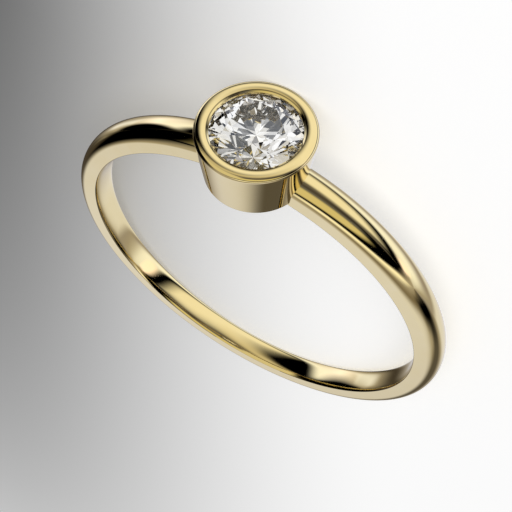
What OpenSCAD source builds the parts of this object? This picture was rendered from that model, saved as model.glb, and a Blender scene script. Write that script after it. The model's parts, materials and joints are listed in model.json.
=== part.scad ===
// A ring with one round brilliant in a bezel cup. The ring lies on its side, as it comes to rest on a flat
// surface, which it touches with the side of the cup and with the back of the band.
//
// Ring axes, used by every module: +X runs out through the middle of the cup, +Z along the finger,
// and the middle of the finger hole is the origin. as_it_rests() then lays the ring down.

/* [Finger hole] */
// Radius of the finger hole
bore_r = 8.5; // [7:0.05:11]
// Rounding of both edges of the finger hole
bore_edge_r = 0.08; // [0.04:0.01:0.15]

/* [Band] */
// Width of the band where it meets the cup
band_w_front = 1.55; // [1.2:0.01:2.2]
// Width of the band at the back
band_w_back = 1.23; // [1:0.01:2]
// Height of the flat side walls of the band
side_h = 0.68; // [0.4:0.01:1.1]
// Height of the dome above the flat side walls
dome_h = 0.53; // [0.2:0.01:0.8]

/* [Bezel cup] */
// Space between the finger and the flat base of the cup
base_lift = 0.02; // [0.01:0.01:0.2]
// Diameter of the cup at its base
base_d = 4.21; // [3.9:0.01:4.6]
// Largest diameter of the cup, just under its rim
rim_d = 4.78; // [4.6:0.01:5.6]
// Height of the rim above the finger
rim_h = 2.61; // [2.5:0.01:3.6]
// Rounding of the outer edge of the rim
rim_edge_r = 0.16; // [0.05:0.01:0.2]
// Rounding of the inner edge of the rim
lip_edge_r = 0.05; // [0.03:0.01:0.18]
// Rounding of the outer edge of the base
base_edge_r = 0.05; // [0.02:0.01:0.15]
// Depth of the lip, from the top of the rim down to the stone
lip_depth = 0.17; // [0.12:0.01:0.4]
// Width of the sloping face of the lip, seen from above
lip_face_w = 0.06; // [0.04:0.01:0.16]
// How far the lip reaches over the edge of the stone
lip_cover = 0.06; // [0.04:0.01:0.2]
// Width of the seat that carries the stone
seat_w = 0.32; // [0.15:0.01:0.4]
// Diameter of the open gallery hole in the base
gallery_d = 2.7; // [2:0.05:2.9]

/* [Stone] */
// Diameter of the stone
stone_d = 3.72; // [3.5:0.01:3.9]
// Diameter of the table across its corners
table_d = 1.96; // [1.8:0.01:2.4]
// Slope of the kite facets of the crown, in degrees
crown_angle = 34; // [28:0.5:36]
// Slope of the main facets of the pavilion, in degrees
pavilion_angle = 40.6; // [39:0.1:43]
// Thickness of the girdle
girdle_h = 0.09; // [0.05:0.01:0.2]
// Length of the star facets, as a share of the way from the table to the girdle
star_share = 0.49; // [0.4:0.01:0.6]
// Length of the lower girdle facets, as a share of the way from the girdle to the culet
lower_share = 0.8; // [0.7:0.01:0.85]
// Turn of the stone about its own axis, in degrees
stone_turn = 22.7; // [0:0.1:45]
// Gap between the stone and the metal
stone_gap = 0.02; // [0.01:0.01:0.05]

/* [Hidden] */

// Smoothness: sections round the band, steps over its dome, and steps round the edges of the cup and the bore
band_steps = 90;
dome_steps = 14;
edge_steps = 5;
bore_edge_steps = 2;
$fn = 96;
// How far a cutting shape runs past the metal that it cuts
cut_past = 0.5;
// How far the uncut band reaches into the finger hole, to be bored away
bore_stock = 0.03;

// Band
side_r = bore_r + side_h;

// Cup
base_x = bore_r + base_lift;
rim_x = bore_r + rim_h;
base_r = base_d / 2;
rim_r = rim_d / 2;
rim_c = [rim_r - rim_edge_r, rim_x - rim_edge_r];
lip_r = stone_d / 2 - lip_cover;
lip_x = rim_x - lip_depth;
lip_c = [lip_r + lip_face_w + lip_edge_r, rim_x - lip_edge_r];
gallery_r = gallery_d / 2;

// Stone: each ring of points has a radius and a height above the top of the girdle
kites = 8;
half = 180 / kites;
stone_r = stone_d / 2;
table_r = table_d / 2;
table_z = (stone_r - table_r) * tan(crown_angle);
star_r = table_r * cos(half) * (1 - star_share) + stone_r * star_share;
star_z = (stone_r - star_r * cos(half)) * tan(crown_angle);
lower_r = stone_r * (1 - lower_share);
lower_z = -girdle_h - (stone_r - lower_r * cos(half)) * tan(pavilion_angle);
culet_z = -girdle_h - stone_r * tan(pavilion_angle);

// The steepest edges of the crown and of the pavilion, which the lip and the seat follow
crown_edge = atan(star_z / (stone_r - star_r));
pavilion_edge = atan((-girdle_h - lower_z) / (stone_r - lower_r));
girdle_x = lip_x - lip_cover * tan(crown_edge) - stone_gap / cos(crown_edge);

// The tilt at which the side of the cup and the back of the band are equally low. Both are rounded, so each
// height is taken at the lowest point of its curve, and the tilt is found by halving.
function cup_low(tilt) = rim_c[1] * sin(tilt) - rim_c[0] * cos(tilt) - rim_edge_r;
function back_low(tilt) = -side_r * sin(tilt) - norm([dome_h * sin(tilt), band_w_back / 2 * cos(tilt)]);
function rest_tilt(low, high, steps) =
    steps == 0 ? (low + high) / 2 :
    let (mid = (low + high) / 2)
    cup_low(mid) < back_low(mid) ? rest_tilt(mid, high, steps - 1) : rest_tilt(low, mid, steps - 1);
tilt = rest_tilt(0, 30, 40);

// The ends of the ring from front to back. Its foremost point is on the rim or at the edge of the stone's
// table, and its rearmost point is on the dome of the band.
rim_front_y = -rim_c[1] * cos(tilt) - rim_c[0] * sin(tilt) - rim_edge_r;
table_front_y = -(girdle_x + table_z) * cos(tilt) - table_r * sin(tilt);
front_y = min(rim_front_y, table_front_y);
back_y = side_r * cos(tilt) + norm([dome_h * cos(tilt), band_w_back / 2 * sin(tilt)]);

// Points on an arc about c, from angle a to angle b
function arc(c, r, a, b, steps) =
    [for (i = [0 : steps]) let (t = a + (b - a) * i / steps) c + r * [cos(t), sin(t)]];

// Half the width of the band at an angle from the cup
function half_width(angle) = (band_w_front + band_w_back) / 4 + (band_w_front - band_w_back) / 4 * cos(angle);

// One edge of the finger hole as [radius, height] points, run on a little past the bore
function bore_edge(w) =
    let (edge = arc([bore_r + bore_edge_r, w - bore_edge_r], bore_edge_r, 180, 90, bore_edge_steps),
         run = edge[0] - edge[1])
    concat([edge[0] + run * bore_stock / -run[0]], [for (i = [1 : bore_edge_steps]) edge[i]]);

// The outline of the band where it is w to each side: one side, the dome, and the other side mirrored
function band_section(w) =
    let (edge = bore_edge(w),
         dome = [for (i = [0 : dome_steps])
                 let (t = 180 * i / dome_steps) [side_r + dome_h * sin(t), w * cos(t)]])
    concat(edge, dome, [for (i = [len(edge) - 1 : -1 : 0]) [edge[i][0], -edge[i][1]]]);

// The band before boring: its outline carried round the finger in even steps
module band_blank() {
    rings = [for (i = [0 : band_steps - 1])
             let (a = 360 * i / band_steps)
             [for (p = band_section(half_width(a))) [p[0] * cos(a), p[0] * sin(a), p[1]]]];
    n = len(rings[0]);
    points = [for (ring = rings) each ring];
    faces = [for (i = [0 : band_steps - 1], j = [0 : n - 1])
             let (a = i * n, b = (i + 1) % band_steps * n, k = (j + 1) % n)
             each [[a + j, b + j, b + k], [a + j, b + k, a + k]]];
    polyhedron(points, faces, convexity = 6);
}

// Turns a solid that was made about +Z to stand along +X
module along_x() {
    rotate([0, 90, 0]) children();
}

// The cup as a full body: base, cone wall, rounded rim
module cup_blank() {
    reach = rim_c - [base_r, base_x];
    wall = atan2(reach[0], reach[1]) + asin(rim_edge_r / norm(reach));
    base_c = [base_r - base_edge_r, base_x + base_edge_r];
    outline = concat([[0, base_x]],
                     arc(base_c, base_edge_r, -90, -wall, edge_steps),
                     arc(rim_c, rim_edge_r, -wall, 90, 2 * edge_steps),
                     [[0, rim_x]]);
    along_x() rotate_extrude() polygon(outline);
}

// What is cut out of the cup for the stone: the rounded and sloping lip, the space under the lip, the seat
// and the gallery hole
module stone_seat() {
    wall_r = stone_r + stone_gap;
    over_x = girdle_x + stone_gap / cos(crown_edge) - stone_gap * tan(crown_edge);
    under_x = girdle_x - girdle_h - stone_gap / cos(pavilion_edge) + stone_gap * tan(pavilion_edge);
    seat_x = under_x - seat_w * tan(pavilion_edge);
    outline = concat([[0, base_x - cut_past], [gallery_r, base_x - cut_past], [gallery_r, base_x]],
                     [[wall_r - seat_w, seat_x], [wall_r, under_x], [wall_r, over_x], [lip_r, lip_x]],
                     arc(lip_c, lip_edge_r, 180, 90, edge_steps),
                     [[lip_c[0], rim_x + cut_past], [0, rim_x + cut_past]]);
    along_x() rotate_extrude() polygon(outline);
}

// The finger hole
module finger_hole() {
    cylinder(r = bore_r, h = band_w_front + 2 * cut_past, center = true, $fn = 180);
}

// The ring laid on its side: the cup to the front, the tilt that it rests at, the surface below it at height
// 0, and its middle from front to back at the origin
module as_it_rests() {
    translate([0, -(front_y + back_y) / 2, -cup_low(tilt)])
        rotate([-tilt, 0, 0]) rotate([0, 0, -90]) children();
}

// The gold: band and cup are soldered into one solid
module ring_body() {
    color([0.93, 0.80, 0.45])
    as_it_rests()
        difference() {
            union() {
                band_blank();
                cup_blank();
            }
            finger_hole();
            stone_seat();
        }
}

// Points spread evenly round the axis of the stone, the first of them at the angle start
function point_ring(r, z, start, count) =
    [for (k = [0 : count - 1]) let (a = start + 360 * k / count) [r * cos(a), r * sin(a), z]];

// A round brilliant, its axis along +Z and the top of its girdle at height 0. Kite k is at angle k * 45.
module brilliant() {
    points = concat(
        point_ring(table_r, table_z, 0, kites),
        point_ring(star_r, star_z, half, kites),
        point_ring(stone_r, 0, 0, 2 * kites),
        point_ring(stone_r, -girdle_h, 0, 2 * kites),
        point_ring(lower_r, lower_z, half, kites),
        [[0, 0, culet_z]]);
    // Index of the first point of each ring
    star = kites;
    top = 2 * kites;
    bottom = 4 * kites;
    lower = 6 * kites;
    culet = 7 * kites;
    faces = concat(
        [[for (k = [kites - 1 : -1 : 0]) k]],
        [for (k = [0 : kites - 1])
            let (next = (k + 1) % kites, last = (k + kites - 1) % kites,
                 tip = 2 * k, mid = 2 * k + 1, tip_next = 2 * next)
            each [
                [k, next, star + k],
                [k, star + k, top + tip, star + last],
                [star + k, top + mid, top + tip],
                [star + k, top + tip_next, top + mid],
                [top + tip, top + mid, bottom + mid, bottom + tip],
                [top + mid, top + tip_next, bottom + tip_next, bottom + mid],
                [bottom + tip, bottom + mid, lower + k],
                [bottom + mid, bottom + tip_next, lower + k],
                [bottom + tip, lower + k, culet, lower + last]
            ]]);
    polyhedron(points, faces, convexity = 2);
}

// The stone in its seat, table outwards
module stone() {
    color([0.92, 0.95, 0.98])
    as_it_rests()
        translate([girdle_x, 0, 0]) along_x() rotate([0, 0, stone_turn]) brilliant();
}

ring_body();
stone();
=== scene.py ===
import json
import math

import bpy
import numpy as np
from mathutils import Matrix, Vector


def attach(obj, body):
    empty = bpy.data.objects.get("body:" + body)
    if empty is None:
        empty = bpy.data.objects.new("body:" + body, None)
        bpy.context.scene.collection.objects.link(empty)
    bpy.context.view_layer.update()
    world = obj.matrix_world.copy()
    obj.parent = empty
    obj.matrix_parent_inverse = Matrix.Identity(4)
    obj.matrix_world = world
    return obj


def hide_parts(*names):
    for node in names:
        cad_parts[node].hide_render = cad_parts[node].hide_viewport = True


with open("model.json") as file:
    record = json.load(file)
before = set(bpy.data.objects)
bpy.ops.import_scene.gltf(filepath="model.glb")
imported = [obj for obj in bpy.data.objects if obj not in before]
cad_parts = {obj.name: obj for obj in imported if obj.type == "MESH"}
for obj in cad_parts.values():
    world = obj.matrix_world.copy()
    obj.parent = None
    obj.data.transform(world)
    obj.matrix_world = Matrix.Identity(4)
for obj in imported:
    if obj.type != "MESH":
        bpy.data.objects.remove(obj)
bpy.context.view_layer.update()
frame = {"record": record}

MM = 0.001

# Sizes of the ring in millimetres, as its construction has them. Its leans and slopes are angles.
BAND_W_FRONT, BAND_W_BACK = 1.55, 1.23
HALF_W, HALF_W_SWING = (BAND_W_FRONT + BAND_W_BACK) / 4, (BAND_W_FRONT - BAND_W_BACK) / 4
SIDE_H, DOME_H = 0.68, 0.53
BASE_LIFT, BASE_D = 0.02, 4.21
RIM_D, RIM_H = 4.78, 2.61
RIM_EDGE, LIP_EDGE, BASE_EDGE = 0.16, 0.05, 0.05
RIM_LEAN_OUT, RIM_LEAN_IN = math.radians(13.5), math.radians(14)
LIP_DEPTH, LIP_FACE_W, LIP_COVER = 0.17, 0.06, 0.06
SEAT_W, GALLERY_D = 0.32, 2.70
STONE_D, TABLE_D, GIRDLE_H = 3.72, 1.96, 0.09
CROWN_SLOPE, PAVILION_SLOPE = math.radians(34), math.radians(40.6)
STAR_SHARE, LOWER_SHARE = 0.49, 0.80
STONE_TURN = math.radians(22.7)
STONE_GAP = 0.02
# Small forms that only the finish has: the smallest rounding of an edge, the rounding of the bevel that is
# cut inside the rim and its lean in degrees, and the crown and the rolled edges of the band's inner face, as
# shares of its half width
CRISP = 0.012
CUT_EDGE, CUT_LEAN = 0.03, 30
BORE_CROWN, BORE_ROLL = 0.04, 0.09

# The ring's own axes: out through the bezel cup, across the hole and along the finger. They come from the
# finger hole, which the record holds as a mount.
HOLE = next(m for m in frame["record"]["mounts"] if m["name"] == "finger_hole")
BORE = HOLE["dims"]["r_mm"]
CENTRE = np.array(HOLE["pos_m"])
FINGER = np.array(HOLE["axis"]) / np.linalg.norm(HOLE["axis"])
ACROSS = np.array([1.0, 0.0, 0.0])
OUT = np.cross(ACROSS, FINGER)
AXES = np.array([OUT, ACROSS, FINGER])

# Heights along the bezel's axis, and the stone's rings of corners. HALF is half the angle between two kites.
SIDE_R = BORE + SIDE_H
BASE_X, RIM_X = BORE + BASE_LIFT, BORE + RIM_H
STONE_R, TABLE_R = STONE_D / 2, TABLE_D / 2
HALF = math.pi / 8
TABLE_Z = (STONE_R - TABLE_R) * math.tan(CROWN_SLOPE)
STAR_R = TABLE_R * math.cos(HALF) * (1 - STAR_SHARE) + STONE_R * STAR_SHARE
STAR_Z = (STONE_R - STAR_R * math.cos(HALF)) * math.tan(CROWN_SLOPE)
LOWER_R = STONE_R * (1 - LOWER_SHARE)
LOWER_Z = -GIRDLE_H - (STONE_R - LOWER_R * math.cos(HALF)) * math.tan(PAVILION_SLOPE)
CULET_Z = -GIRDLE_H - STONE_R * math.tan(PAVILION_SLOPE)
CROWN_EDGE = STAR_Z / (STONE_R - STAR_R)
PAVILION_EDGE = (-GIRDLE_H - LOWER_Z) / (STONE_R - LOWER_R)
LIP_R, LIP_X = STONE_R - LIP_COVER, RIM_X - LIP_DEPTH
GIRDLE_X = LIP_X - LIP_COVER * CROWN_EDGE - STONE_GAP * math.hypot(1, CROWN_EDGE)
WALL_R = STONE_R + STONE_GAP
OVER_X = GIRDLE_X + STONE_GAP * math.hypot(1, CROWN_EDGE) - STONE_GAP * CROWN_EDGE
UNDER_X = GIRDLE_X - GIRDLE_H - STONE_GAP * math.hypot(1, PAVILION_EDGE) + STONE_GAP * PAVILION_EDGE
SEAT_R, SEAT_X = WALL_R - SEAT_W, UNDER_X - SEAT_W * PAVILION_EDGE

# The camera of the photo, in the ring's axes: where it stands, what it looks along and which way is up in
# the picture. The picture is 512 pixels wide, and the film has the usual 36 mm.
CAMERA_AT = np.array([38.839, -10.541, 18.696])
LOOK = np.array([-0.86656, 0.24373, -0.43544])
PICTURE_UP = np.array([0.49892, 0.43759, -0.74799])
FOCAL_PX, PICTURE_PX, FILM_MM = 930.0, 512, 36


def to_row(points):
    """Points in the ring's axes, in millimetres, as points of the row's frame, in metres."""
    return CENTRE + points @ AXES * MM


def arc(centre, radius, start, end, steps):
    """Points on a circle from one angle to another, in degrees: centre + radius * (cos, sin)."""
    t = np.radians(np.linspace(start, end, steps + 1))
    return np.array(centre) + radius * np.stack([np.cos(t), np.sin(t)], 1)


def crisp(outline, width=CRISP):
    """A closed outline with a point set in at each end of every stretch longer than four widths, so that
    smooth shading keeps the stretch flat and turns only at its ends."""
    nxt = np.roll(outline, -1, 0)
    length = np.linalg.norm(nxt - outline, axis=1)[:, None]
    step = (nxt - outline) / length * width
    trio = np.stack([outline, outline + step, nxt - step], 1)
    keep = np.ones(trio.shape[:2], bool)
    keep[:, 1:] = length > 4 * width
    return trio[keep]


def quads(rows, columns, wrap_rows):
    """Corner numbers of the faces between the rows and columns of a grid of points. The columns close on
    themselves, and the rows do where wrap_rows is true."""
    i = np.arange(rows if wrap_rows else rows - 1)[:, None]
    j = np.arange(columns)[None, :]
    a, b, k = i * columns, (i + 1) % rows * columns, (j + 1) % columns
    return np.stack([a + j, b + j, b + k, a + k], -1).reshape(-1, 4)


def mesh_piece(name, points, faces, smooth):
    """A piece from points in the ring's axes and lists of corner numbers. Its faces are turned round as a
    whole if they enclose a negative volume: the sum over all triangles of a . (b x c) / 6."""
    placed = to_row(points)
    volume = 0.0
    for corners in faces:
        a, b = placed[corners[:, 0]], placed[corners[:, 1]]
        for k in range(2, corners.shape[1]):
            c = placed[corners[:, k]]
            volume += np.einsum("ij,ij->", a, np.cross(b, c)) / 6
            b = c
    if volume < 0:
        faces = [corners[:, ::-1] for corners in faces]
    mesh = bpy.data.meshes.new(name)
    mesh.from_pydata(placed.tolist(), [], [f for corners in faces for f in corners.tolist()])
    mesh.polygons.foreach_set("use_smooth", [smooth] * len(mesh.polygons))
    mesh.update()
    piece = bpy.data.objects.new(name, mesh)
    bpy.context.scene.collection.objects.link(piece)
    return piece


def gallery_radius(x):
    """Radius of the open gallery under the stone at a height along the bezel's axis: a straight line from
    its mouth in the base to the foot of the seat."""
    return np.interp(x, [BASE_X, SEAT_X], [GALLERY_D / 2, SEAT_R])


def shank():
    """The band. At an angle t round the finger its outline is a D of half width mean + swing * cos(t): a
    flat side at each end, a half ellipse of height DOME_H over it, and a soft inner face that rises from the
    bore by mean * (BORE_CROWN * u^2 + BORE_ROLL * u^6) at a share u of the half width. Each point runs round
    the finger from one side of the bezel's gallery to the other, and starts where its own circle meets the
    gallery's wall."""
    around, over, inner_steps = 480, 72, 12
    middle_share = 0.8
    # The outline as [radius, share of the half width, height added to it]
    t = np.linspace(0, np.pi, over + 1)
    dome = np.stack([SIDE_R + DOME_H * np.sin(t), np.cos(t), 0 * t], 1)
    u = np.concatenate([np.linspace(0, middle_share, inner_steps, endpoint=False),
                        np.linspace(middle_share, 1, inner_steps)])
    inner = np.stack([BORE + HALF_W * (BORE_CROWN * u**2 + BORE_ROLL * u**6), u, 0 * u], 1)
    support = np.array([[inner[-1, 0] + CRISP, 1, 0], [SIDE_R - CRISP, 1, 0]])
    upper = np.concatenate([inner, support])
    lower = upper[:0:-1] * [1, -1, -1]
    radius, share, add = np.concatenate([upper, dome, lower]).T

    def height(angle):
        return share * (HALF_W + HALF_W_SWING * np.cos(angle)) + add

    # Each start is an angle in radians. The gallery's radius depends on the height that the start itself
    # gives, so a first guess is bettered in rounds.
    first_guess, rounds = 0.15, 12
    start = np.full(len(radius), first_guess)
    for _ in range(rounds):
        reach = gallery_radius(radius * np.cos(start)) + CRISP
        start = np.arcsin(np.sqrt(reach**2 - height(start) ** 2) / radius)
    u = np.linspace(0, 1, around + 1)[:, None]
    angle = start + (2 * np.pi - 2 * start) * u
    points = np.stack([radius * np.cos(angle), radius * np.sin(angle), height(angle)], -1)
    rows, columns = points.shape[:2]
    ends = points[[0, -1]].mean(1)
    skin = quads(rows, columns, False)
    j = np.arange(columns)
    k = (j + 1) % columns
    first = np.stack([0 * j + rows * columns, j, k], 1)
    last = np.stack([0 * j + rows * columns + 1, k + (rows - 1) * columns, j + (rows - 1) * columns], 1)
    return mesh_piece("shank", np.concatenate([points.reshape(-1, 3), ends]), [skin, first, last], True)


def bezel_cup():
    """The bezel: one closed outline of radius and height, turned about the bezel's axis. It runs up the cone
    wall, over the rounded outer edge and the crowned top of the rim, down the bevel cut inside it and the
    lip's wall, under the lip, down the girdle wall and the seat, and down the gallery to the flat base. The
    crowned top is an arc with the radius width / (sine of its lean inwards + sine of its lean outwards)."""
    around = 288
    side_out, side_in = math.sin(RIM_LEAN_OUT), math.sin(RIM_LEAN_IN)
    first = LIP_R + LIP_FACE_W + LIP_EDGE * (1 - side_in)
    last = RIM_D / 2 - RIM_EDGE * (1 - side_out)
    crown = (last - first) / (side_in + side_out)
    middle = np.array([first + crown * side_in, RIM_X - crown])
    rim_c = middle + (crown - RIM_EDGE) * np.array([side_out, math.cos(RIM_LEAN_OUT)])
    cut_c = middle + (crown - CUT_EDGE) * np.array([-side_in, math.cos(RIM_LEAN_IN)])
    # The cone wall leans so that it starts at the edge of the base and just touches the rounding of the rim
    reach = rim_c - [BASE_D / 2, BASE_X]
    lean = math.degrees(math.atan2(*reach) + math.asin(RIM_EDGE / np.linalg.norm(reach)))
    turn_out, turn_in = 90 - math.degrees(RIM_LEAN_OUT), 90 + math.degrees(RIM_LEAN_IN)
    turn_cut = 90 + CUT_LEAN
    # The bevel runs straight from its rounded top to its rounded foot, which is moved to its lower end
    cut_top = arc(cut_c, CUT_EDGE, turn_in, turn_cut, 5)
    cut_foot = arc([LIP_R + CRISP, 0], CRISP, turn_cut, 180, 6)
    drop = (cut_top[-1, 0] - cut_foot[0, 0]) * math.tan(math.radians(CUT_LEAN))
    cut_foot[:, 1] += cut_top[-1, 1] - drop - cut_foot[0, 1]
    outline = crisp(np.concatenate([
        arc([BASE_D / 2 - BASE_EDGE, BASE_X + BASE_EDGE], BASE_EDGE, -90, -lean, 8),
        arc(rim_c, RIM_EDGE, -lean, turn_out, 20),
        arc(middle, crown, turn_out, turn_in, 16)[1:-1],
        cut_top,
        cut_foot,
        [[LIP_R, LIP_X], [WALL_R, OVER_X], [WALL_R, UNDER_X], [SEAT_R, SEAT_X], [GALLERY_D / 2, BASE_X]],
    ]))
    angle = np.linspace(0, 2 * np.pi, around, endpoint=False)[:, None]
    radius, height = outline.T
    points = np.stack(np.broadcast_arrays(height, radius * np.cos(angle), radius * np.sin(angle)), -1)
    rows, columns = points.shape[:2]
    return mesh_piece("bezel_cup", points.reshape(-1, 3), [quads(rows, columns, True)], True)


def brilliant():
    """The round brilliant. Each ring of corners lies at angles start + 360 degrees * k / count, at a radius
    and a height above the girdle: table, star points, both edges of the girdle, lower points and culet."""
    kites = 8

    def ring(radius, height, start, count):
        a = start + np.arange(count) * 2 * np.pi / count
        return np.stack([radius * np.cos(a), radius * np.sin(a), height + 0 * a], 1)

    corners = np.concatenate([
        ring(TABLE_R, TABLE_Z, 0, kites),
        ring(STAR_R, STAR_Z, HALF, kites),
        ring(STONE_R, 0, 0, 2 * kites),
        ring(STONE_R, -GIRDLE_H, 0, 2 * kites),
        ring(LOWER_R, LOWER_Z, HALF, kites),
        [[0, 0, CULET_Z]],
    ])
    star, top, bottom, lower, culet = (kites * n for n in (1, 2, 4, 6, 7))
    k = np.arange(kites)
    nxt, last = (k + 1) % kites, (k - 1) % kites
    tip, mid, tip_nxt = 2 * k, 2 * k + 1, 2 * nxt
    three = np.concatenate([np.stack(f, 1) for f in (
        (star + k, nxt, k),
        (top + tip, top + mid, star + k),
        (top + mid, top + tip_nxt, star + k),
        (lower + k, bottom + mid, bottom + tip),
        (lower + k, bottom + tip_nxt, bottom + mid),
    )])
    four = np.concatenate([np.stack(f, 1) for f in (
        (star + last, top + tip, star + k, k),
        (bottom + tip, bottom + mid, top + mid, top + tip),
        (bottom + mid, bottom + tip_nxt, top + tip_nxt, top + mid),
        (lower + last, 0 * k + culet, lower + k, bottom + tip),
    )])
    cos, sin = math.cos(STONE_TURN), math.sin(STONE_TURN)
    side = corners[:, :2] @ np.array([[cos, sin], [-sin, cos]])
    points = np.stack([GIRDLE_X + corners[:, 2], side[:, 1], -side[:, 0]], 1)
    return mesh_piece("brilliant", points, [np.arange(kites)[None, :], three, four], False)


class Graph:
    """The nodes of a material or of the world, with one short call for each kind that is used here. A value
    is a number, a vector, a colour or another node's output."""

    def __init__(self, owner):
        owner.use_nodes = True
        self.nodes, self.links = owner.node_tree.nodes, owner.node_tree.links

    def feed(self, socket, value):
        """A value into a socket. A colour is given as three numbers, and None leaves the socket as it is."""
        if isinstance(value, bpy.types.NodeSocket):
            self.links.new(value, socket)
        elif value is not None:
            socket.default_value = (*value, 1) if socket.type == "RGBA" else value

    def surface(self, values):
        """Values into the surface shader's own sockets, by their names."""
        for name, value in values.items():
            self.feed(self.nodes["Principled BSDF"].inputs[name], value)

    def node(self, kind, values, operation=None):
        """A node with values in its first sockets."""
        node = self.nodes.new(kind)
        if operation:
            node.operation = operation
        for socket, value in zip(node.inputs, values):
            self.feed(socket, value)
        return node

    def math(self, operation, *values):
        """One step of arithmetic on numbers."""
        return self.node("ShaderNodeMath", values, operation).outputs[0]

    def vector(self, operation, *values):
        """One step of arithmetic on vectors."""
        node = self.node("ShaderNodeVectorMath", values, operation)
        return node.outputs["Value" if operation in ("LENGTH", "DOT_PRODUCT") else "Vector"]

    def join(self, *parts):
        """A vector from its parts."""
        return self.node("ShaderNodeCombineXYZ", parts).outputs[0]

    def split(self, vector):
        """The three parts of a vector."""
        return tuple(self.node("ShaderNodeSeparateXYZ", [vector]).outputs)

    def product(self, first, *others):
        """Numbers multiplied with each other."""
        for value in others:
            first = self.math("MULTIPLY", first, value)
        return first

    def distance(self, a, b):
        """How far two steps at right angles lead: the root of a * a + b * b."""
        return self.math("SQRT", self.math("ADD", self.product(a, a), self.product(b, b)))

    def coordinates(self, kind):
        """A place on the object or in the world, of the named kind."""
        return self.nodes.new("ShaderNodeTexCoord").outputs[kind]

    def ring_place(self):
        """Object coordinates in millimetres from the middle of the finger hole, in the ring's own axes."""
        place = self.vector("SUBTRACT", self.coordinates("Object"), CENTRE.tolist())
        return [self.vector("DOT_PRODUCT", place, (axis / MM).tolist()) for axis in AXES]

    def noise(self, place, scale, detail, stretch=(1, 1, 1)):
        """Smooth noise with about scale spots per millimetre, drawn out where stretch is above 1."""
        node = self.nodes.new("ShaderNodeTexNoise")
        drawn = self.join(*(self.math("DIVIDE", part, longer) for part, longer in zip(place, stretch)))
        for name, value in (("Vector", drawn), ("Scale", scale), ("Detail", detail)):
            self.feed(node.inputs[name], value)
        return node.outputs["Fac"]

    def ramp(self, value, low, high, at_low=0, at_high=1, smooth=False):
        """A value carried from one range to another and held at its ends: along a straight line, or along an
        S curve where smooth is true."""
        node = self.nodes.new("ShaderNodeMapRange")
        if smooth:
            node.interpolation_type = "SMOOTHSTEP"
        names = ("Value", "From Min", "From Max", "To Min", "To Max")
        for name, number in zip(names, (value, low, high, at_low, at_high)):
            self.feed(node.inputs[name], number)
        return node.outputs[0]

    def blend(self, share, first, second):
        """One colour laid over another."""
        node = self.nodes.new("ShaderNodeMix")
        node.data_type = "RGBA"
        for name, value in (("Factor", share), ("A", first), ("B", second)):
            self.feed(node.inputs[name], value)
        return node.outputs["Result"]

    def bump(self, height, strength, under=None):
        """A small relief of the surface, RELIEF deep, laid over another."""
        node = self.nodes.new("ShaderNodeBump")
        values = (("Strength", strength), ("Distance", RELIEF * MM), ("Height", height), ("Normal", under))
        for name, value in values:
            self.feed(node.inputs[name], value)
        return node.outputs[0]


# Colours of the gold: its polish in two shades, and a lighter shade painted on the edges as a highlight
WARM, PALE, EDGE_HIGHLIGHT = (0.925, 0.770, 0.405), (0.935, 0.790, 0.435), (0.95, 0.82, 0.50)
# Dark colours painted on the gold: painted shade in the cup under the stone, and painted dark reflections in
# the band's inner corners and along a thin line round the inner edge of the rim
CUP_SHADE, CORNER_REFLECTION, RIM_LINE_REFLECTION = (0.27, 0.20, 0.10), (0.15, 0.11, 0.05), (0.04, 0.03, 0.012)
# The painted rim line's radius, half width and share over the gold, and the width of the painted dark corner
RIM_LINE_R, RIM_LINE_W, RIM_LINE_SHARE, CORNER_REFLECTION_W = LIP_R + LIP_FACE_W + 0.03, 0.035, 0.85, 0.03
# Roughness of the best and of the softest polish, and what wheel lines, scratches, wear and the cup add to it
BEST_POLISH, SOFT_POLISH = 0.02, 0.045
WHEEL_ROUGH, SCRATCH_ROUGH, WORN_ROUGH, UNDER_ROUGH = 0.02, 0.05, 0.03, 0.30
# The share of the painted edge highlight on an edge, and the depth of lines and scratches in millimetres
EDGE_HIGHLIGHT_SHARE, RELIEF = 0.2, 0.004


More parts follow.
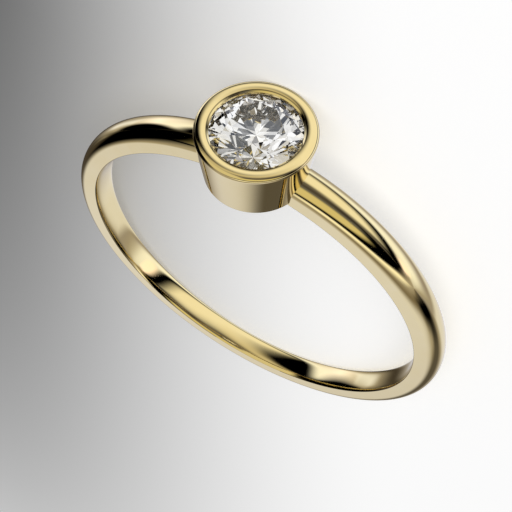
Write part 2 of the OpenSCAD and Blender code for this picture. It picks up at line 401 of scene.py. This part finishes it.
def gold():
    """Polished pale yellow gold. Fine lines from the polishing wheel run round the finger, short stray
    scratches cross them, the polish is a little softer in patches, the edges are a little rougher from wear
    and carry a lighter painted highlight, and the cup under the stone is left dull and painted dark as shade.
    The band's inner corners and a thin line round the inner edge of the rim carry painted dark reflections."""
    material = bpy.data.materials.new("polished_gold")
    graph = Graph(material)
    out, across, along = graph.ring_place()
    angle = graph.math("ARCTAN2", across, out)
    radius, off_axis = graph.distance(out, across), graph.distance(along, across)

    # Patterns
    round_finger = radius, graph.product(angle, BORE), along
    lines = graph.noise(round_finger, scale=14.0, detail=3.0, stretch=(1, 45, 1))
    patches = graph.noise((out, across, along), scale=0.7, detail=3.0)
    along_out = graph.noise((out, across, along), scale=9.0, detail=1.0, stretch=(22, 1, 1.4))
    along_across = graph.noise((across, along, out), scale=8.0, detail=1.0, stretch=(18, 1.3, 1))
    scratch = graph.ramp(graph.math("MAXIMUM", along_out, along_across), 0.72, 0.79)
    edge = graph.ramp(graph.nodes.new("ShaderNodeNewGeometry").outputs["Pointiness"], 0.52, 0.60)

    # Places: inside the cup (painted shade), the corner between the bore and the side of the band (painted
    # dark reflection), and the painted dark reflection line round the inner edge of the rim
    # Inside the cup under the stone: painted shade in the colour, and a duller polish
    under = graph.product(graph.ramp(off_axis, WALL_R + 0.02, WALL_R + 0.01),
                          graph.ramp(out, LIP_X, LIP_X - 0.01), graph.ramp(out, BASE_X, BASE_X + 0.3))
    half_width = graph.math("MULTIPLY_ADD", graph.math("COSINE", angle), HALF_W_SWING, HALF_W)
    from_side = graph.math("SUBTRACT", half_width, graph.math("ABSOLUTE", along))
    roll = BORE + HALF_W * (BORE_CROWN + BORE_ROLL)
    # Along the band's inner corners: a painted dark reflection
    corner_reflection = graph.product(graph.ramp(from_side, 0, CORNER_REFLECTION_W, 1, 0),
                           graph.ramp(radius, roll + 0.005, roll + 0.02, 1, 0),
                           graph.ramp(off_axis, BASE_D / 2, BASE_D / 2 + 0.02))
    # A thin ring round the inner edge of the rim: a painted dark reflection
    rim_line_reflection = graph.product(graph.ramp(off_axis, RIM_LINE_R - RIM_LINE_W, RIM_LINE_R),
                            graph.ramp(off_axis, RIM_LINE_R, RIM_LINE_R + RIM_LINE_W, 1, 0),
                            graph.ramp(out, LIP_X, LIP_X + 0.02, 0, RIM_LINE_SHARE))

    colour = graph.blend(graph.ramp(patches, 0.35, 0.65), WARM, PALE)
    # The sharpest edges get a lighter colour: a painted highlight
    colour = graph.blend(graph.product(edge, EDGE_HIGHLIGHT_SHARE), colour, EDGE_HIGHLIGHT)
    # Painted shade in the cup, and painted dark reflections in the inner corners and round the rim
    for share, shade in ((under, CUP_SHADE), (corner_reflection, CORNER_REFLECTION), (rim_line_reflection, RIM_LINE_REFLECTION)):
        colour = graph.blend(share, colour, shade)
    rough = graph.ramp(patches, 0.3, 0.7, BEST_POLISH, SOFT_POLISH)
    for more in (graph.ramp(lines, 0.3, 0.8, 0, WHEEL_ROUGH), graph.product(scratch, SCRATCH_ROUGH),
                 graph.product(edge, WORN_ROUGH), graph.product(under, UNDER_ROUGH)):
        rough = graph.math("ADD", rough, more)
    wheel_relief = graph.bump(lines, strength=0.05)
    relief = graph.bump(graph.math("SUBTRACT", 1, scratch), strength=0.08, under=wheel_relief)
    graph.surface({"Base Color": colour, "Metallic": 1, "Roughness": rough, "Normal": relief})
    return material


# The share that a facet mirrors of the studio round it, against bare diamond, and how strongly it bends light
SHEEN, DIAMOND_IOR = 0.45, 2.44


def diamond():
    """Clear diamond with polished facets and a finely ground girdle, which is the part of the surface that
    lies furthest from the bezel's axis."""
    material = bpy.data.materials.new("diamond")
    graph = Graph(material)
    out, across, along = graph.ring_place()
    girdle_r = STONE_R * math.cos(HALF / 2)
    ground = graph.ramp(graph.distance(along, across), girdle_r - 0.03, girdle_r - 0.01)
    spots = graph.noise((out, across, along), scale=40.0, detail=2.0)
    grain = graph.ramp(spots, 0.35, 0.65, at_low=0.2, at_high=0.4)
    graph.surface({"Base Color": (1, 1, 1), "Transmission Weight": 1, "IOR": DIAMOND_IOR,
                   "Specular Tint": (SHEEN, SHEEN, SHEEN), "Roughness": graph.product(ground, grain)})
    return material


def put_camera():
    """The photo's camera, which stands as it was found in the ring's axes."""
    data = bpy.data.cameras.new("camera")
    data.sensor_width = FILM_MM
    data.lens = FOCAL_PX / PICTURE_PX * FILM_MM
    data.clip_start, data.clip_end = 0.001, 10
    look, up = LOOK @ AXES, PICTURE_UP @ AXES
    look /= np.linalg.norm(look)
    right = np.cross(look, up)
    right /= np.linalg.norm(right)
    up = np.cross(right, look)
    pose = np.eye(4)
    pose[:3, 0], pose[:3, 1], pose[:3, 2], pose[:3, 3] = right, up, -look, to_row(CAMERA_AT)
    camera = bpy.data.objects.new("camera", data)
    bpy.context.scene.collection.objects.link(camera)
    camera.matrix_world = Matrix(pose.tolist())
    bpy.context.scene.camera = camera


# The light on matt surfaces: an even share from all round, and a wide panel overhead (metres, watts). The
# paper of the floor glows a little too, as on a light table, so the shadows on it stay faint.
AMBIENT = 0.28
PANEL_AT, PANEL_SIZE, PANEL_POWER = (-0.10, -0.22, 0.25), 0.40, 0.63
GLOW = 0.5
# What the camera sees past the floor
PAST_FLOOR = (0.85, 0.85, 0.85)
# The floor's half width in metres, and the roughness of its paper. Its colour goes from white to grey with
# the turn round a point and back to white behind it: painted shade, in place of light that falls off across
# the floor. The grey is paler further from that point, starts a little away from it and ends well behind
# the ring. Places are in millimetres, turns in degrees, and shades are shares of the light that comes back.
FLOOR_HALF, PAPER_ROUGH = 0.6, 0.9
GRADE_AT = (4.0, -55.0)
GRADE_TURN, BACK_TURN = (-11.4, 16.0), (22.0, 100.0)
GRADE_START, GRADE_END = (4.0, 46.0), (155.0, 350.0)
GREY_FROM, GREY_TO = 48.0, 150.0
WHITE, GREY, PALE_GREY = 0.93, 0.13, 0.55


def put_floor():
    """A pale floor, graded from white to grey as painted shade in place of light falling off. The share of
    grey is the product of four S curves, two over the turn round GRADE_AT and two over the distance from it."""
    mesh = bpy.data.meshes.new("floor")
    corners = [(x * FLOOR_HALF, y * FLOOR_HALF, 0) for x, y in ((-1, -1), (1, -1), (1, 1), (-1, 1))]
    mesh.from_pydata(corners, [], [(0, 1, 2, 3)])
    floor = bpy.data.objects.new("floor", mesh)
    bpy.context.scene.collection.objects.link(floor)
    material = bpy.data.materials.new("pale_floor")
    graph = Graph(material)
    x, y = (graph.math("SUBTRACT", part, at * MM)
            for part, at in zip(graph.split(graph.coordinates("Object")), GRADE_AT))
    turn, away = graph.math("ARCTAN2", x, y), graph.distance(x, y)
    share = graph.product(*(
        graph.ramp(value, *ends.tolist(), *held, smooth=True) for value, ends, held in (
            (turn, np.radians(GRADE_TURN), (0, 1)),
            (turn, np.radians(BACK_TURN), (1, 0)),
            (away, np.multiply(GRADE_START, MM), (0, 1)),
            (away, np.multiply(GRADE_END, MM), (1, 0)),
        )))
    grey = graph.ramp(away, GREY_FROM * MM, GREY_TO * MM, GREY, PALE_GREY)
    # The grey is painted shade: the floor's colour darkens where the light would fall off
    shade = graph.ramp(share, 0, 1, WHITE, grey)
    graph.surface({"Base Color": shade, "Emission Color": shade, "Emission Strength": GLOW,
                   "Roughness": PAPER_ROUGH, "Specular IOR Level": 0})
    floor.data.materials.append(material)
    floor.visible_glossy = floor.visible_transmission = False


# The studio that the metal mirrors: soft cards, each laid over those before it. A direction is given by two
# angles: turn, round the X axis from straight up, and rise, towards +X. Each row holds a card's middle
# (turn, rise), its half sizes, the rounding of its corners, the softness of its edge, its own turn, and its
# light. The rows of this table and of the stone's were not chosen by hand. Programs fitted them to the
# photo's colours, and they were rounded afterwards. So both tables are data that another program made.
ROOM_LIGHT = (0.41, 0.38, 0.35)
CARDS = (
    (-174, -12.5, 13, 51.5, 12, 24, -22, (0.10, 0.05, 0.06)),
    (145, -41, 9.5, 60.5, 13, 26, -15, (0.35, 0.33, 0.35)),
    (138.5, -12.5, 22, 48.5, 39, 14, -9, (0.78, 0.80, 0.92)),
    (90, -33.5, 16, 35.5, 13, 18.5, 8, (0.10, 0.09, 0.08)),
    (58, -5.5, 14.5, 49, 14, 27.5, -30, (0.75, 0.77, 0.91)),
    (27.5, -53, 13.5, 58, 18.5, 37, 16, (0.19, 0.16, 0.12)),
    (81.5, -73, 58.5, 17, 40, 27, -4, (0.00, 0.00, 0.00)),
    (-8, -37.5, 10.5, 41.5, 13, 26, -11, (1.18, 1.16, 1.05)),
    (-149, 0.1, 23.5, 84.5, 20.5, 41, -17, (1.05, 1.10, 1.24)),
    (-127.5, -70.5, 38, 7.5, 10.5, 7, -6, (1.32, 1.16, 1.21)),
    (-82, -10.5, 70, 70, 50, 12.5, 2, (0.00, 0.00, 0.00)),
    (-50.5, 7, 25.5, 60, 31.5, 13, -11, (0.71, 0.63, 0.35)),
    (-77, 8.5, 8, 57.5, 7.5, 14.5, 1, (0.13, 0.13, 0.14)),
    (-84, 3.5, 3, 52.5, 16.5, 11, 2, (0.05, 0.04, 0.04)),
    (-91, 7.5, 2, 75.5, 11, 22.5, -7, (0.24, 0.22, 0.21)),
    (-97, 22, 6, 45, 5.5, 11.5, -20, (0.62, 0.56, 0.41)),
    (-122, -11.5, 18, 51.5, 38.5, 18.5, 10, (0.97, 0.94, 0.85)),
    (10.5, 93.5, 112, 55, 14.5, 29, 1, (0.00, 0.00, 0.00)),
    (-9.5, 59.5, 11.5, 8, 2.9, 3, -5, (0.00, 0.00, 0.00)),
    (123, 37.5, 48, 12.5, 12.5, 24.5, -30, (0.06, 0.05, 0.04)),
    (110, 67, 9.5, 2, 15, 30.5, -15, (0.42, 0.38, 0.32)),
    (153.5, 60, 17, 6.5, 6.5, 13.5, 8, (0.89, 0.93, 1.11)),
    (-151, 67.5, 44.5, 12.5, 16.5, 33, 28, (1.28, 1.27, 1.50)),
    (-165.5, 95, 77, 27, 5, 10, -7, (0.00, 0.00, 0.00)),
    (-9.5, 45, 7, 8, 4, 8, -7, (0.00, 0.00, 0.00)),
    (-55, 23.5, 36, 20, 14.5, 7.5, -10, (0.70, 0.64, 0.44)),
)


# The cards that light the stone, which were fitted apart from the metal's
STONE_LIGHT = (0.84, 0.83, 0.80)
STONE_CARDS = (
    (-78, -46, 18, 59, 18, 7.5, 5, (0.08, 0.09, 0.11)),
    (-13.5, -24.5, 6.5, 60.5, 6.5, 2.1, -7, (0.00, 0.00, 0.00)),
    (-153.5, -31, 16.5, 52, 16.5, 19.5, -13, (0.22, 0.18, 0.11)),
    (-103, -52, 12, 19, 3.5, 3.5, -21, (0.44, 0.42, 0.42)),
    (-133.5, 30, 21.5, 6.5, 6.5, 2.8, -33, (0.04, 0.02, 0.00)),
    (-71.5, -0.4, 51.5, 6, 6, 25, 12, (1.30, 1.30, 1.30)),
    (-81.5, -4.5, 14.5, 6.5, 6.5, 5.5, -16, (0.08, 0.09, 0.11)),
    (-37.5, -50.5, 24, 5, 5, 3, 21, (0.00, 0.00, 0.00)),
    (-65.5, 4.5, 10.5, 4.5, 4.5, 7.5, -7, (1.01, 1.01, 1.03)),
    (-28, -48, 11.5, 11, 5, 2.6, -1, (0.00, 0.00, 0.00)),
    (-131.5, 70, 23, 8, 5, 3, -12, (0.00, 0.00, 0.00)),
    (-26.5, 23.5, 10.5, 25, 2.3, 3.5, -13, (0.70, 0.66, 0.57)),
    (-52.5, 49.5, 28, 25.5, 15.5, 17, 19, (0.42, 0.38, 0.31)),
    (-106, 30, 14.5, 25, 3, 6, 12, (0.10, 0.08, 0.05)),
    (-76, 27, 26.5, 6.5, 3.5, 7.5, 10, (1.03, 1.04, 1.04)),
    (-29, -44, 10.5, 12, 7, 7.5, 2, (0.00, 0.00, 0.00)),
    (-117, 17.5, 1.1, 19, 1.1, 5, 3, (0.79, 0.76, 0.70)),
    (-37.5, -33, 9, 7.5, 7.5, 6, 0, (0.99, 0.98, 0.94)),
    (-112, 8, 12.5, 10.5, 10, 6, -4, (1.15, 1.13, 1.08)),
    (-106.5, -72.5, 21.5, 23, 18, 16.5, 4, (0.10, 0.08, 0.05)),
    (-29, -46, 20, 7, 6, 4.5, -1, (0.00, 0.00, 0.00)),
    (-40, -37, 19.5, 4, 4, 2.5, 30, (1.04, 1.00, 0.90)),
)


def card_light(graph, light, cards):
    """The light that comes from a direction. A card's share is 1 inside its rounded box and falls smoothly
    to 0 over the soft edge: it depends on the length of max(|p| - half size + rounding, 0), with p the
    direction from the card's middle in the card's own turn."""
    x, y, z = graph.split(graph.vector("NORMALIZE", graph.coordinates("Generated")))
    degree = 180 / math.pi
    place = graph.join(graph.product(graph.math("ARCTAN2", y, z), degree),
                       graph.product(graph.math("ARCSINE", x), degree))
    for turn, rise, half_turn, half_rise, rounding, soft, tilt, colour in cards:
        # Turns run from -180 to 180 degrees and start again. The wide limits leave the rise as it is.
        p = graph.vector("SUBTRACT", place, (turn, rise, 0))
        p = graph.vector("WRAP", p, (180, 1000, 1), (-180, -1000, -1))
        rotate = graph.nodes.new("ShaderNodeVectorRotate")
        rotate.rotation_type = "Z_AXIS"
        graph.feed(rotate.inputs["Vector"], p)
        graph.feed(rotate.inputs["Angle"], -math.radians(tilt))
        p = graph.vector("ABSOLUTE", rotate.outputs[0])
        p = graph.vector("SUBTRACT", p, (half_turn - rounding, half_rise - rounding, 0))
        past = graph.vector("LENGTH", graph.vector("MAXIMUM", p, (0, 0, 0)))
        share = graph.ramp(past, rounding - soft / 2, rounding + soft / 2, 1, 0, smooth=True)
        light = graph.blend(share, light, colour)
    return light


def put_lights():
    """A soft studio. Its cards show in mirrors and through the stone. Matt surfaces and the camera have an
    even pale light, and a wide panel overhead gives the ring its soft shadow. The world's light has no
    samples of its own, because they would give a mirror the light that is meant for matt surfaces."""
    world = bpy.data.worlds.new("studio")
    graph = Graph(world)
    ray = graph.nodes.new("ShaderNodeLightPath").outputs
    even = (AMBIENT, AMBIENT, AMBIENT)
    light = graph.blend(ray["Is Glossy Ray"], even, card_light(graph, ROOM_LIGHT, CARDS))
    light = graph.blend(ray["Is Transmission Ray"], light, card_light(graph, STONE_LIGHT, STONE_CARDS))
    light = graph.blend(ray["Is Camera Ray"], light, PAST_FLOOR)
    graph.feed(graph.nodes["Background"].inputs["Color"], light)
    world.cycles.sampling_method = "NONE"
    bpy.context.scene.world = world

    data = bpy.data.lights.new("panel", "AREA")
    data.size = PANEL_SIZE
    data.energy = PANEL_POWER
    panel = bpy.data.objects.new("panel", data)
    panel.location = PANEL_AT
    panel.rotation_euler = Vector(PANEL_AT).to_track_quat("Z", "Y").to_euler()
    panel.visible_camera = panel.visible_glossy = panel.visible_transmission = False
    bpy.context.scene.collection.objects.link(panel)


metal, clear = gold(), diamond()
for piece, node, material, slot in (
    (shank(), "ring_body", metal, "gold"),
    (bezel_cup(), "ring_body", metal, "gold"),
    (brilliant(), "stone", clear, "stone"),
):
    piece.data.materials.append(material)
    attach(piece, "root")
    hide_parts(node)

put_camera()
put_floor()
put_lights()
# Light is followed far enough to find its way out of the stone
bpy.context.scene.cycles.max_bounces = 24
bpy.context.scene.cycles.glossy_bounces = 16
bpy.context.scene.cycles.transmission_bounces = 20
bpy.context.scene.view_settings.view_transform = "Standard"
